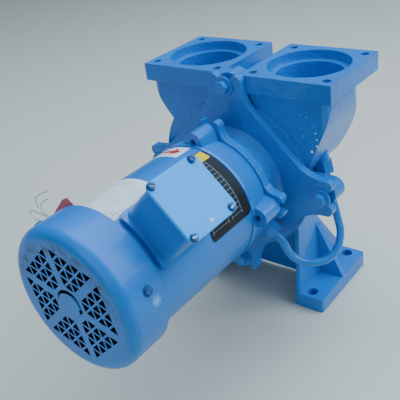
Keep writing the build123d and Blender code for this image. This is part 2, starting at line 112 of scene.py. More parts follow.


# Castings: casing, foot and adapter are sand-cast iron under one thick coat of gloss enamel,
# which follows the sand's grain and is flecked with dust.
enamel_light = linear("#0C88E0")
enamel_deep = linear("#085FA6")
enamel_grime = linear("#14304C")


def layer(tree, shader, mask, colour):
    """Lay one more colour over a material's base where the mask is 1."""
    under = shader.inputs["Base Color"].links[0].from_socket
    over = add(tree, "ShaderNodeMix", {"Factor": mask, "A": under, "B": colour}, data_type="RGBA")
    tree.links.new(over.outputs["Result"], shader.inputs["Base Color"])


def enamel(name, grain, depth, gloss, coat, dust, rounding, tones=(enamel_deep, enamel_light)):
    """Blue enamel: grain is the grain's size in metres, depth its bump, dust how much grime shows, and
    rounding the radius in metres to which the thick coat softens an edge."""
    material, tree, shader = finish_of(name, **{"Roughness": gloss, "Coat Weight": coat,
                                                "Coat Roughness": 0.13, "IOR": 1.5,
                                                "Specular IOR Level": 0.35})
    place = add(tree, "ShaderNodeTexCoord").outputs["Object"]
    broad = add(tree, "ShaderNodeTexNoise", {"Vector": place, "Scale": 9.0, "Detail": 5.0, "Roughness": 0.6})
    tone = add(tree, "ShaderNodeMix", {"Factor": broad.outputs["Fac"], "A": tones[0], "B": tones[1]},
               data_type="RGBA")
    tree.links.new(tone.outputs["Result"], shader.inputs["Base Color"])
    speck = add(tree, "ShaderNodeTexNoise", {"Vector": place, "Scale": 55.0, "Detail": 6.0, "Roughness": 0.75})
    spread = add(tree, "ShaderNodeMapRange", {"Value": speck.outputs["Fac"], "From Min": 0.62, "From Max": 0.78,
                                              "To Min": 0.0, "To Max": dust})
    layer(tree, shader, spread.outputs[0], enamel_grime)
    fine = add(tree, "ShaderNodeTexNoise", {"Vector": place, "Scale": 0.35 / grain, "Detail": 3.0})
    soft = add(tree, "ShaderNodeBevel", {"Radius": rounding}, samples=6)
    bump = add(tree, "ShaderNodeBump", {"Height": fine.outputs["Fac"], "Strength": 0.8, "Distance": depth,
                                        "Normal": soft.outputs[0]})
    tree.links.new(bump.outputs[0], shader.inputs["Normal"])
    return material, tree, shader


cast_enamel, cast_tree, cast_shader = enamel("cast_enamel", grain=0.0014, depth=0.0016, gloss=0.34,
                                             coat=0.4, dust=0.5, rounding=0.0018)
for node in ("casing", "foot", "adapter"):
    nodes[node].data.materials.clear()
    nodes[node].data.materials.append(cast_enamel)

# Bells, bolts, fittings and box: die castings, forgings and pressings sprayed with the same enamel
# after assembly; their smooth metal takes it glossier than the castings do.
sheet_enamel, sheet_tree, sheet_shader = enamel("sheet_enamel", grain=0.006, depth=0.0003, gloss=0.36,
                                                coat=0.5, dust=0.3, rounding=0.001)
for node in nodes:
    if node not in ("casing", "foot", "adapter", "motor_frame", "fan_cover", "motor_shaft", "cooling_fan",
                    "impeller"):
        nodes[node].data.materials.clear()
        nodes[node].data.materials.append(sheet_enamel)

# Painted light: the conduit box cover takes a lighter, more cyan copy of the enamel, for its top that faces the
# lamps.
lit_box_enamel, lit_box_tree, lit_box_shader = enamel("lit_box_enamel", grain=0.005, depth=0.0003, gloss=0.5, coat=0.08,
                                          dust=0.2, rounding=0.0008,
                                          tones=(linear("#109CF0"), linear("#22AEFC")))
nodes["conduit_box_cover"].data.materials.clear()
nodes["conduit_box_cover"].data.materials.append(lit_box_enamel)


# Motor frame: a rolled steel shell, scratched through to a darker undercoat low on its right side,
# with one small pale spot near its top by the fan cover.
def near(tree, place, centre, reach, edge, grain=90.0):
    """Mask of a ragged spot: 1 within reach of centre, fading over edge, broken up by noise."""
    away = add(tree, "ShaderNodeVectorMath", {0: place, 1: centre}, operation="DISTANCE")
    ragged = add(tree, "ShaderNodeTexNoise", {"Vector": place, "Scale": grain, "Detail": 4.0})
    push = add(tree, "ShaderNodeMath", {0: ragged.outputs["Fac"], 1: -reach * 1.6, 2: away.outputs["Value"]},
               operation="MULTIPLY_ADD")
    return add(tree, "ShaderNodeMapRange", {"Value": push.outputs[0], "From Min": reach * 0.2 + edge,
                                            "From Max": reach * 0.2 - edge}).outputs[0]


def scratches(tree, shader, place, centre, reach, scale, colour, strength):
    """Broken hairlines, about a third of a millimetre wide, within reach of centre."""
    bent = add(tree, "ShaderNodeTexNoise", {"Vector": place, "Scale": 25.0})
    moved = add(tree, "ShaderNodeVectorMath", {0: bent.outputs["Color"], 1: (0.02, 0.02, 0.02), 2: place},
                operation="MULTIPLY_ADD")
    lines = add(tree, "ShaderNodeTexVoronoi", {"Vector": moved.outputs[0], "Scale": scale},
                feature="DISTANCE_TO_EDGE")
    thin = add(tree, "ShaderNodeMath", {0: lines.outputs["Distance"], 1: 0.0002 * scale},
               operation="LESS_THAN")
    gaps = add(tree, "ShaderNodeTexNoise", {"Vector": place, "Scale": 70.0, "Detail": 2.0})
    broken = add(tree, "ShaderNodeMath", {0: gaps.outputs["Fac"], 1: 0.52}, operation="GREATER_THAN")
    both = add(tree, "ShaderNodeMath", {0: thin.outputs[0], 1: broken.outputs[0]}, operation="MULTIPLY")
    here = add(tree, "ShaderNodeMath", {0: both.outputs[0], 1: near(tree, place, centre, reach, 0.006)},
               operation="MULTIPLY")
    faded = add(tree, "ShaderNodeMath", {0: here.outputs[0], 1: strength}, operation="MULTIPLY")
    layer(tree, shader, faded.outputs[0], colour)


shell_enamel, shell_tree, shell_shader = enamel("shell_enamel", grain=0.008, depth=0.0003, gloss=0.38,
                                                coat=0.2, dust=0.25, rounding=0.0005)
shell_place = add(shell_tree, "ShaderNodeTexCoord").outputs["Object"]
scratches(shell_tree, shell_shader, shell_place, on_shell(88, -200, 70.6), 0.035, 34.0, linear("#0F3A66"),
          0.7)
# A small pale spot on the top of the shell, close to the fan cover.
layer(shell_tree, shell_shader, near(shell_tree, shell_place, on_shell(9, -216, 70.6), 0.004, 0.002, 200.0),
      linear("#7CC8EA"))
nodes["motor_frame"].data.materials.clear()
nodes["motor_frame"].data.materials.append(shell_enamel)

# Fan cover: deep-drawn steel with punched air holes. A small pale patch below the right screw is a painted
# highlight; dark grime has settled on the flat round the upper holes and in streaks under the right screw;
# the walls of the holes are painted near black as painted shade.
cover_enamel, cover_tree, cover_shader = enamel("cover_enamel", grain=0.007, depth=0.0003, gloss=0.38,
                                                coat=0.2, dust=0.3, rounding=0.0005)
cover_place = add(cover_tree, "ShaderNodeTexCoord").outputs["Object"]
hub = on_shell(0, -265, 0)
off_hub = add(cover_tree, "ShaderNodeVectorMath", {0: cover_place, 1: hub}, operation="DISTANCE").outputs["Value"]
soot = add(cover_tree, "ShaderNodeTexNoise", {"Vector": cover_place, "Scale": 160.0, "Detail": 6.0,
                                              "Roughness": 0.7})
soot_edge = add(cover_tree, "ShaderNodeMapRange", {"Value": soot.outputs["Fac"], "From Min": 0.42,
                                                   "From Max": 0.62, "To Max": 0.85})
ring_in = add(cover_tree, "ShaderNodeMapRange", {"Value": off_hub, "From Min": 0.048, "From Max": 0.060})
ring_out = add(cover_tree, "ShaderNodeMapRange", {"Value": off_hub, "From Min": 0.071, "From Max": 0.063})
high_up = add(cover_tree, "ShaderNodeSeparateXYZ", {0: cover_place})
upper = add(cover_tree, "ShaderNodeMapRange", {"Value": high_up.outputs["Z"], "From Min": shaft_height - 0.02,
                                               "From Max": shaft_height + 0.03})
soot_mask = soot_edge.outputs[0]
for part in (ring_in, ring_out, upper):
    soot_mask = add(cover_tree, "ShaderNodeMath", {0: soot_mask, 1: part.outputs[0]},
                    operation="MULTIPLY").outputs[0]
layer(cover_tree, cover_shader, soot_mask, linear("#1B3550"))
# Painted shade: the walls of the air holes are painted near black, so the holes read darker and larger, as the
# shade inside them would.
wall_facing = add(cover_tree, "ShaderNodeSeparateXYZ", {0: add(cover_tree, "ShaderNodeNewGeometry").outputs["True Normal"]})
wall_turned = add(cover_tree, "ShaderNodeMath", {0: wall_facing.outputs["Y"]}, operation="ABSOLUTE")
wall_side = add(cover_tree, "ShaderNodeMath", {0: wall_turned.outputs[0], 1: 0.5}, operation="LESS_THAN")
wall_zone = add(cover_tree, "ShaderNodeMath", {0: off_hub, 1: 0.063}, operation="LESS_THAN")
painted_hole_shade = add(cover_tree, "ShaderNodeMath", {0: wall_side.outputs[0], 1: wall_zone.outputs[0]},
                operation="MULTIPLY")
layer(cover_tree, cover_shader, painted_hole_shade.outputs[0], linear("#0A1622"))
scratches(cover_tree, cover_shader, cover_place, on_shell(95, -240, 77.8), 0.026, 45.0, linear("#133F6D"),
          0.45)
# Painted highlight: a small pale patch on the cover's side below the right screw.
layer(cover_tree, cover_shader, near(cover_tree, cover_place, on_shell(83, -229, 77.8), 0.004, 0.0025, 260.0),
      linear("#6FB4E8"))
nodes["fan_cover"].data.materials.clear()
nodes["fan_cover"].data.materials.append(cover_enamel)

# Cooling fan, shaft and impeller: a moulded black nylon fan seen dimly through the grille, a turned
# carbon-steel shaft and an unpainted iron impeller, both out of sight.
fan_nylon, fan_tree, fan_shader = finish_of("fan_nylon", **{"Roughness": 0.55, "IOR": 1.53})
fan_place = add(fan_tree, "ShaderNodeTexCoord").outputs["Object"]
fan_dust = add(fan_tree, "ShaderNodeTexNoise", {"Vector": fan_place, "Scale": 60.0, "Detail": 5.0})
fan_tone = add(fan_tree, "ShaderNodeMix", {"Factor": fan_dust.outputs["Fac"], "A": linear("#0B0F14"),
                                           "B": linear("#27313B")}, data_type="RGBA")
fan_tree.links.new(fan_tone.outputs["Result"], fan_shader.inputs["Base Color"])
turned_steel, steel_tree, steel_shader = finish_of("turned_steel", **{"Metallic": 1.0, "Roughness": 0.3})
steel_place = add(steel_tree, "ShaderNodeTexCoord").outputs["Object"]
rings = add(steel_tree, "ShaderNodeTexWave", {"Vector": steel_place, "Scale": 180.0, "Distortion": 0.6},
            bands_direction="Y")
steel_tone = add(steel_tree, "ShaderNodeMix", {"Factor": rings.outputs["Fac"], "A": linear("#A9AEB2"),
                                               "B": linear("#D3D6D8")}, data_type="RGBA")
steel_tree.links.new(steel_tone.outputs["Result"], steel_shader.inputs["Base Color"])
bare_iron, iron_tree, iron_shader = finish_of("bare_iron", **{"Metallic": 0.7, "Roughness": 0.6})
iron_place = add(iron_tree, "ShaderNodeTexCoord").outputs["Object"]
iron_grain = add(iron_tree, "ShaderNodeTexNoise", {"Vector": iron_place, "Scale": 220.0, "Detail": 4.0})
iron_tone = add(iron_tree, "ShaderNodeMix", {"Factor": iron_grain.outputs["Fac"], "A": linear("#4A4642"),
                                             "B": linear("#77726C")}, data_type="RGBA")
iron_tree.links.new(iron_tone.outputs["Result"], iron_shader.inputs["Base Color"])
iron_bump = add(iron_tree, "ShaderNodeBump", {"Height": iron_grain.outputs["Fac"], "Distance": 0.0004})
iron_tree.links.new(iron_bump.outputs[0], iron_shader.inputs["Normal"])
for node, material in (("cooling_fan", fan_nylon), ("motor_shaft", turned_steel), ("impeller", bare_iron)):
    nodes[node].data.materials.clear()
    nodes[node].data.materials.append(material)

# Boss fairings: the die-cast webs that run each bolt boss of the drive-end bell into its rim, with a
# narrower drilled mouth at the fan side than the bolt's own hole.
web_outline = [(0.077, 0.0103), (0.064, 0.0140), (0.064, -0.0140), (0.077, -0.0103), (0.077, -0.0050),
               (0.0696, -0.0050), (0.0696, 0.0050), (0.077, 0.0050)]
fairing_shape = bmesh.new()
for side in ("top", "right", "bottom", "left"):
    bolt_low, bolt_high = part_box("motor_bolt_" + side)
    outward = Vector(((bolt_low.x + bolt_high.x) / 2 - shaft_x, 0, (bolt_low.z + bolt_high.z) / 2 - shaft_height))
    outward.normalize()
    sideways = outward.cross(Vector((0, 1, 0)))
    ends = []
    for depth in (-63.8, -36.4):
        ends.append([fairing_shape.verts.new(from_shaft(0, depth, 0) + outward * out + sideways * half)
                     for out, half in web_outline])
        fairing_shape.faces.new(ends[-1])
    for i in range(len(web_outline)):
        j = (i + 1) % len(web_outline)
        fairing_shape.faces.new((ends[0][i], ends[0][j], ends[1][j], ends[1][i]))
    mouth = [[fairing_shape.verts.new(from_shaft(0, depth, 0) + outward * (0.0746 + reach * math.cos(turn)) +
                                      sideways * reach * math.sin(turn))
              for turn in (math.tau * i / 24 for i in range(24))]
             for reach, depth in ((0.00468, -63.9), (0.0032, -63.9), (0.0032, -58), (0.00468, -58))]
    for loop, after in zip(mouth, mouth[1:] + mouth[:1]):
        for i in range(24):
            j = (i + 1) % 24
            fairing_shape.faces.new((loop[i], loop[j], after[j], after[i]))
boss_fairings = piece_of("boss_fairings", fairing_shape)
dress(boss_fairings, sheet_enamel)

# Flush tube: 9 mm soft copper tube, bent by hand in one sweep from the neck's fitting round under
# the right ear to the bowl, and painted with the rest.
neck_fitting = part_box("flush_fitting_lower")
tube_out = Vector((math.sin(math.radians(128)), 0, math.cos(math.radians(128))))
tube_foot = (neck_fitting[0] + neck_fitting[1]) / 2 - tube_out * 0.002
tube_places = [tube_foot, tube_foot + tube_out * 0.018, from_shaft(84.3, -10, -82.2),
               from_shaft(104.8, 4, -89.6), from_shaft(117.1, 20, -84.1), from_shaft(118, 36, -67.2),
               from_shaft(109.6, 44.5, -46), from_shaft(101.4, 46.5, -18), from_shaft(94.8, 48, 6.2),
               from_shaft(90, 50, 24)]
tube_line = bpy.data.curves.new("flush_tube_line", "CURVE")
tube_line.dimensions = "3D"
tube_line.bevel_depth = 0.0046
tube_line.bevel_resolution = 8
tube_line.resolution_u = 12
tube_line.use_fill_caps = True
bends = tube_line.splines.new("BEZIER")
bends.bezier_points.add(len(tube_places) - 1)
for bend, place in zip(bends.bezier_points, tube_places):
    bend.co = place
    bend.handle_left_type = bend.handle_right_type = "AUTO"
tube_holder = bpy.data.objects.new("flush_tube_line", tube_line)
bpy.context.collection.objects.link(tube_holder)
tube_mesh = bpy.data.meshes.new_from_object(tube_holder.evaluated_get(bpy.context.evaluated_depsgraph_get()))
bpy.data.objects.remove(tube_holder)
for face in tube_mesh.polygons:
    face.use_smooth = True
smooth_tube = bpy.data.objects.new("smooth_flush_tube", tube_mesh)
bpy.context.collection.objects.link(smooth_tube)
dress(smooth_tube, sheet_enamel)
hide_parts("flush_tube")

# Slotted hex washer-head screws: four 7 mm ones hold the conduit box cover and three 8 mm ones the
# fan cover; driven after painting, so the slot shows bright steel.
screw_tree = bpy.data.node_groups.new("slotted_hex_screws", "GeometryNodeTree")
screw_tree.interface.new_socket("Geometry", in_out="INPUT", socket_type="NodeSocketGeometry")
for label, value in (("Head Width", 0.007), ("Head Height", 0.0034), ("Washer Width", 0.0092)):
    screw_tree.interface.new_socket(label, in_out="INPUT", socket_type="NodeSocketFloat").default_value = value
for label in ("Paint", "Slot Metal"):
    screw_tree.interface.new_socket(label, in_out="INPUT", socket_type="NodeSocketMaterial")
screw_tree.interface.new_socket("Geometry", in_out="OUTPUT", socket_type="NodeSocketGeometry")
given = add(screw_tree, "NodeGroupInput").outputs
head_radius = add(screw_tree, "ShaderNodeMath", {0: given["Head Width"], 1: 0.577}, operation="MULTIPLY")
head_top = add(screw_tree, "ShaderNodeMath", {0: head_radius.outputs[0], 1: 0.9}, operation="MULTIPLY")
washer_radius = add(screw_tree, "ShaderNodeMath", {0: given["Washer Width"], 1: 0.5}, operation="MULTIPLY")
washer_top = add(screw_tree, "ShaderNodeMath", {0: washer_radius.outputs[0], 1: 0.93}, operation="MULTIPLY")
washer = add(screw_tree, "GeometryNodeMeshCone", {"Vertices": 28, "Radius Top": washer_top.outputs[0],
                                                  "Radius Bottom": washer_radius.outputs[0], "Depth": 0.0008})
hexagon = add(screw_tree, "GeometryNodeMeshCone", {"Vertices": 6, "Radius Top": head_top.outputs[0],
                                                   "Radius Bottom": head_radius.outputs[0],
                                                   "Depth": given["Head Height"]})
slot_high = add(screw_tree, "ShaderNodeCombineXYZ", {"Z": given["Head Height"]})
slot_cut = add(screw_tree, "GeometryNodeMeshCube", {"Size": (0.02, 0.0013, 0.0022)})
slot_raised = add(screw_tree, "GeometryNodeTransform", {"Geometry": slot_cut.outputs[0],
                                                        "Translation": slot_high.outputs[0]})
slotted = add(screw_tree, "GeometryNodeMeshBoolean", {"Mesh 1": hexagon.outputs[0],
                                                      "Mesh 2": slot_raised.outputs[0]},
              operation="DIFFERENCE", solver="EXACT")
slot_length = add(screw_tree, "ShaderNodeMath", {0: given["Head Width"], 1: 0.78}, operation="MULTIPLY")
slot_size = add(screw_tree, "ShaderNodeCombineXYZ", {"X": slot_length.outputs[0], "Y": 0.00125, "Z": 0.0004})
slot_floor = add(screw_tree, "GeometryNodeMeshCube", {"Size": slot_size.outputs[0]})
floor_drop = add(screw_tree, "ShaderNodeMath", {0: given["Head Height"], 1: 0.00108}, operation="SUBTRACT")
floor_high = add(screw_tree, "ShaderNodeCombineXYZ", {"Z": floor_drop.outputs[0]})
floor_set = add(screw_tree, "GeometryNodeTransform", {"Geometry": slot_floor.outputs[0],
                                                      "Translation": floor_high.outputs[0]})
painted = add(screw_tree, "GeometryNodeJoinGeometry")
screw_tree.links.new(washer.outputs[0], painted.inputs[0])
screw_tree.links.new(slotted.outputs[0], painted.inputs[0])
painted_set = add(screw_tree, "GeometryNodeSetMaterial", {"Geometry": painted.outputs[0],
                                                          "Material": given["Paint"]})
bare_set = add(screw_tree, "GeometryNodeSetMaterial", {"Geometry": floor_set.outputs[0],
                                                       "Material": given["Slot Metal"]})
one_screw = add(screw_tree, "GeometryNodeJoinGeometry")
screw_tree.links.new(painted_set.outputs[0], one_screw.inputs[0])
screw_tree.links.new(bare_set.outputs[0], one_screw.inputs[0])
facing = add(screw_tree, "GeometryNodeInputNamedAttribute", {"Name": "facing"}, data_type="FLOAT_VECTOR")
driven = add(screw_tree, "GeometryNodeInputNamedAttribute", {"Name": "driven"}, data_type="FLOAT_VECTOR")
spun = add(screw_tree, "FunctionNodeAlignRotationToVector", {"Vector": driven.outputs["Attribute"]}, axis="X")
upright = add(screw_tree, "FunctionNodeAlignRotationToVector", {"Rotation": spun.outputs[0],
                                                                "Vector": facing.outputs["Attribute"]}, axis="Z")
set_out = add(screw_tree, "GeometryNodeInstanceOnPoints", {"Points": given["Geometry"],
                                                           "Instance": one_screw.outputs[0],
                                                           "Rotation": upright.outputs[0]})
real = add(screw_tree, "GeometryNodeRealizeInstances", {"Geometry": set_out.outputs[0]})
add(screw_tree, "NodeGroupOutput", {"Geometry": real.outputs[0]})

screw_steel, bright_tree, bright_shader = finish_of("screw_steel", **{"Metallic": 0.9, "Roughness": 0.35})
bright_place = add(bright_tree, "ShaderNodeTexCoord").outputs["Object"]
bright_grain = add(bright_tree, "ShaderNodeTexNoise", {"Vector": bright_place, "Scale": 900.0})
bright_tone = add(bright_tree, "ShaderNodeMix", {"Factor": bright_grain.outputs["Fac"],
                                                 "A": linear("#8FA3B0"), "B": linear("#CBD6DC")},
                  data_type="RGBA")
bright_tree.links.new(bright_tone.outputs["Result"], bright_shader.inputs["Base Color"])

# Painted shade: the screws' paint is a darker copy of the blue enamel, standing in for the shade round their
# heads.
shaded_screw_enamel, dark_tree, dark_shader = finish_of("shaded_screw_enamel", **{"Roughness": 0.42})
dark_place = add(dark_tree, "ShaderNodeTexCoord").outputs["Object"]
dark_grain = add(dark_tree, "ShaderNodeTexNoise", {"Vector": dark_place, "Scale": 400.0})
dark_tone = add(dark_tree, "ShaderNodeMix", {"Factor": dark_grain.outputs["Fac"], "A": linear("#0B3C6B"),
                                             "B": linear("#17609F")}, data_type="RGBA")
dark_tree.links.new(dark_tone.outputs["Result"], dark_shader.inputs["Base Color"])


def screws(name, seats, head_width, washer_width):
    """Screws on their seats: each seat is a place, the way the head faces and the way its slot runs."""
    points = bpy.data.meshes.new(name)
    points.from_pydata([place for place, _, _ in seats], [], [])
    for label, column in (("facing", 1), ("driven", 2)):
        marks = points.attributes.new(label, "FLOAT_VECTOR", "POINT")
        for index, seat in enumerate(seats):
            marks.data[index].vector = seat[column]
    piece = bpy.data.objects.new(name, points)
    bpy.context.collection.objects.link(piece)
    nodes_modifier = piece.modifiers.new("screws", "NODES")
    nodes_modifier.node_group = screw_tree
    wanted = {"Head Width": head_width, "Washer Width": washer_width, "Paint": shaded_screw_enamel,
              "Slot Metal": screw_steel}
    for item in screw_tree.interface.items_tree:
        if item.name in wanted and item.in_out == "INPUT":
            nodes_modifier[item.identifier] = wanted[item.name]
    made = bpy.data.meshes.new_from_object(piece.evaluated_get(bpy.context.evaluated_depsgraph_get()))
    piece.modifiers.clear()
    piece.data = made
    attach(piece, "pump")


box_out = Vector((math.sqrt(0.5), 0, math.sqrt(0.5)))
box_side = Vector((math.sqrt(0.5), 0, -math.sqrt(0.5)))
box_middle = from_shaft(0, -174.8, 0)
cover_seats = []
for across, along, slot_turn in ((-1, -1, 55), (-1, 1, 35), (1, 1, 100), (1, -1, 75)):
    seat = box_middle + box_out * 0.1234 + box_side * 0.0279 * across + Vector((0, 0.0274 * along, 0))
    turn = math.radians(slot_turn)
    cover_seats.append((seat, box_out, box_side * math.cos(turn) + Vector((0, math.sin(turn), 0))))
screws("box_cover_screws", cover_seats, 0.0068, 0.0086)
fan_cover_seats = []
for angle, slot_turn in ((72.5, 80), (192.5, 20), (312.5, 140)):
    radial = (on_shell(angle, 0, 100) - on_shell(angle, 0, 0)).normalized()
    around = radial.cross(Vector((0, 1, 0)))
    turn = math.radians(slot_turn)
    fan_cover_seats.append((on_shell(angle, -235, 77.6), radial,
                            around * math.cos(turn) + Vector((0, math.sin(turn), 0))))
screws("fan_cover_screws", fan_cover_seats, 0.0082, 0.0108)


# Nameplate: a thin black-printed aluminium plate rolled to the shell, with a yellow band at its upper
# edge and pale ruled boxes. It carries rules only, no words.
def shell_patch(name, angles, depths, lift, thick, corner):
    """A thin plate with round corners, rolled to the shell; its UV map is in metres from one corner."""
    width = math.radians(angles[1] - angles[0]) * shell_radius
    height = (depths[1] - depths[0]) / 1000
    edge = [corner * (1 - math.cos(math.radians(a))) for a in range(0, 91, 15)]
    rows = edge + [corner + (height - 2 * corner) * i / 8 for i in range(1, 8)] + [height - v for v in edge[::-1]]
    shape = bmesh.new()
    maps = shape.loops.layers.uv.new("UVMap")
    spots = {}
    sheets = []
    for up in (lift, lift + thick):
        grid = []
        for v in rows:
            short = max(corner - min(v, height - v), 0.0)
            inset = corner - math.sqrt(corner ** 2 - short ** 2)
            line = []
            for i in range(41):
                u = inset + (width - 2 * inset) * i / 40
                angle = angles[0] + math.degrees(u / shell_radius)
                vert = shape.verts.new(on_shell(angle, depths[0] + v * 1000, (shell_radius + up) * 1000))
                spots[vert] = (u, v)
                line.append(vert)
            grid.append(line)
        sheets.append(grid)
        for low, high in zip(grid, grid[1:]):
            for i in range(40):
                shape.faces.new((low[i], low[i + 1], high[i + 1], high[i]))
    rims = [[grid[0][i] for i in range(41)] + [row[-1] for row in grid[1:]] +
            [grid[-1][i] for i in range(39, -1, -1)] + [row[0] for row in grid[-2:0:-1]] for grid in sheets]
    for i in range(len(rims[0])):
        j = (i + 1) % len(rims[0])
        shape.faces.new((rims[0][i], rims[0][j], rims[1][j], rims[1][i]))
    for face in shape.faces:
        face.smooth = len(set(face.verts) & set(rims[1])) < 4
        for loop in face.loops:
            loop[maps].uv = spots[loop.vert]
    return piece_of(name, shape)


def window(tree, value, low, high):
    """Mask: 1 where a coordinate lies between low and high."""
    over = add(tree, "ShaderNodeMath", {0: value, 1: low}, operation="GREATER_THAN")
    under = add(tree, "ShaderNodeMath", {0: value, 1: high}, operation="LESS_THAN")
    return add(tree, "ShaderNodeMath", {0: over.outputs[0], 1: under.outputs[0]}, operation="MULTIPLY").outputs[0]


def rules(tree, value, start, pitch, width):
    """Mask: ruled lines of one width at one pitch, counted from start."""
    steps = add(tree, "ShaderNodeMath", {0: value, 1: 1 / pitch, 2: -start / pitch}, operation="MULTIPLY_ADD")
    part = add(tree, "ShaderNodeMath", {0: steps.outputs[0]}, operation="FRACT")
    return add(tree, "ShaderNodeMath", {0: part.outputs[0], 1: width / pitch}, operation="LESS_THAN").outputs[0]


plate_print, plate_tree, plate_shader = finish_of("plate_print", **{"Roughness": 0.5, "IOR": 1.4})
plate_map = add(plate_tree, "ShaderNodeSeparateXYZ", {0: add(plate_tree, "ShaderNodeTexCoord").outputs["UV"]})
plate_u, plate_v = plate_map.outputs["X"], plate_map.outputs["Y"]
plate_wear = add(plate_tree, "ShaderNodeTexNoise", {"Vector": add(plate_tree, "ShaderNodeTexCoord").outputs["UV"],
                                                    "Scale": 120.0, "Detail": 4.0})
plate_black = add(plate_tree, "ShaderNodeMix", {"Factor": plate_wear.outputs["Fac"], "A": linear("#050608"),
                                                "B": linear("#15181C")}, data_type="RGBA")
plate_tree.links.new(plate_black.outputs["Result"], plate_shader.inputs["Base Color"])
for low_v, high_v in ((0.004, 0.030), (0.036, 0.053)):
    box_rows = add(plate_tree, "ShaderNodeMath", {0: rules(plate_tree, plate_u, 0.017, 0.0052, 0.0003),
                                                  1: window(plate_tree, plate_v, low_v, high_v)},
                   operation="MULTIPLY")
    box_field = add(plate_tree, "ShaderNodeMath", {0: box_rows.outputs[0],
                                                   1: window(plate_tree, plate_u, 0.0165, 0.082)},
                    operation="MULTIPLY")
    layer(plate_tree, plate_shader, box_field.outputs[0], linear("#A4ACB1"))
    for side in (low_v, high_v):
        side_rule = add(plate_tree, "ShaderNodeMath", {0: window(plate_tree, plate_v, side, side + 0.0004),
                                                       1: window(plate_tree, plate_u, 0.0165, 0.082)},
                        operation="MULTIPLY")
        layer(plate_tree, plate_shader, side_rule.outputs[0], linear("#A4ACB1"))
band = add(plate_tree, "ShaderNodeMath", {0: window(plate_tree, plate_u, 0.0012, 0.0145),
                                          1: window(plate_tree, plate_v, 0.0015, 0.0645)}, operation="MULTIPLY")
layer(plate_tree, plate_shader, band.outputs[0], linear("#F5C800"))
nameplate = shell_patch("nameplate", (10, 82), (-135, -69), 0.00005, 0.0005, 0.005)
dress(nameplate, plate_print)

# Test sheet: a white paper label pasted along the top of the shell, faintly ruled in grey and a
# little grubby; blank rules stand for its print.
paper, paper_tree, paper_shader = finish_of("label_paper", **{"Roughness": 0.7, "IOR": 1.4})
paper_uv = add(paper_tree, "ShaderNodeTexCoord").outputs["UV"]
paper_map = add(paper_tree, "ShaderNodeSeparateXYZ", {0: paper_uv})
paper_cloud = add(paper_tree, "ShaderNodeTexNoise", {"Vector": paper_uv, "Scale": 70.0, "Detail": 4.0})
paper_white = add(paper_tree, "ShaderNodeMix", {"Factor": paper_cloud.outputs["Fac"], "A": linear("#D5D8D6"),
                                                "B": linear("#F4F4EC")}, data_type="RGBA")
paper_tree.links.new(paper_white.outputs["Result"], paper_shader.inputs["Base Color"])
long_rules = rules(paper_tree, paper_map.outputs["X"], 0.004, 0.00435, 0.0007)
dash_cells = add(paper_tree, "ShaderNodeMapping", {"Vector": paper_uv, "Scale": (230.0, 170.0, 1.0)})
dash_noise = add(paper_tree, "ShaderNodeTexWhiteNoise", {"Vector": add(
    paper_tree, "ShaderNodeVectorMath", {0: dash_cells.outputs[0]}, operation="FLOOR").outputs[0]},
    noise_dimensions="2D")
dashes = add(paper_tree, "ShaderNodeMath", {0: dash_noise.outputs["Value"], 1: 0.36}, operation="GREATER_THAN")
grey = add(paper_tree, "ShaderNodeMath", {0: long_rules, 1: dashes.outputs[0]}, operation="MULTIPLY")
grey_in = add(paper_tree, "ShaderNodeMath", {0: grey.outputs[0],
                                             1: window(paper_tree, paper_map.outputs["Y"], 0.004, 0.062)},
              operation="MULTIPLY")
faint = add(paper_tree, "ShaderNodeMath", {0: grey_in.outputs[0], 1: 0.7}, operation="MULTIPLY")
layer(paper_tree, paper_shader, faint.outputs[0], linear("#2E3A42"))
test_label = shell_patch("paper_label", (-35, 20), (-213, -147), 0.00005, 0.0002, 0.002)
dress(test_label, paper)

# Rotation label: a small white vinyl sticker beside the nameplate, with a plain red arrow that runs
# round the shell in the way the shaft turns.
vinyl, vinyl_tree, vinyl_shader = finish_of("arrow_vinyl", **{"Roughness": 0.35, "IOR": 1.5})
vinyl_uv = add(vinyl_tree, "ShaderNodeTexCoord").outputs["UV"]
vinyl_map = add(vinyl_tree, "ShaderNodeSeparateXYZ", {0: vinyl_uv})
vinyl_cloud = add(vinyl_tree, "ShaderNodeTexNoise", {"Vector": vinyl_uv, "Scale": 90.0, "Detail": 3.0})
vinyl_white = add(vinyl_tree, "ShaderNodeMix", {"Factor": vinyl_cloud.outputs["Fac"], "A": linear("#DADDDC"),
                                                "B": linear("#F6F5F0")}, data_type="RGBA")
vinyl_tree.links.new(vinyl_white.outputs["Result"], vinyl_shader.inputs["Base Color"])
arrow_off = add(vinyl_tree, "ShaderNodeMath", {0: vinyl_map.outputs["Y"], 1: 0.012}, operation="SUBTRACT")
arrow_half = add(vinyl_tree, "ShaderNodeMath", {0: arrow_off.outputs[0]}, operation="ABSOLUTE")
arrow_stem = add(vinyl_tree, "ShaderNodeMath", {0: window(vinyl_tree, vinyl_map.outputs["X"], 0.005, 0.022),
                                                1: window(vinyl_tree, arrow_half.outputs[0], -1.0, 0.0028)},
                 operation="MULTIPLY")
arrow_slope = add(vinyl_tree, "ShaderNodeMath", {0: vinyl_map.outputs["X"], 1: -0.75, 2: 0.75 * 0.032},
                  operation="MULTIPLY_ADD")
arrow_wide = add(vinyl_tree, "ShaderNodeMath", {0: arrow_half.outputs[0], 1: arrow_slope.outputs[0]},
                 operation="LESS_THAN")
arrow_head = add(vinyl_tree, "ShaderNodeMath", {0: arrow_wide.outputs[0],
                                                1: window(vinyl_tree, vinyl_map.outputs["X"], 0.0218, 0.032)},
                 operation="MULTIPLY")
arrow = add(vinyl_tree, "ShaderNodeMath", {0: arrow_stem.outputs[0], 1: arrow_head.outputs[0]},
            operation="MAXIMUM")
layer(vinyl_tree, vinyl_shader, arrow.outputs[0], linear("#D0262B"))
arrow_label = shell_patch("arrow_label", (-29, 0.5), (-94, -70), 0.00005, 0.0002, 0.0015)
dress(arrow_label, vinyl)

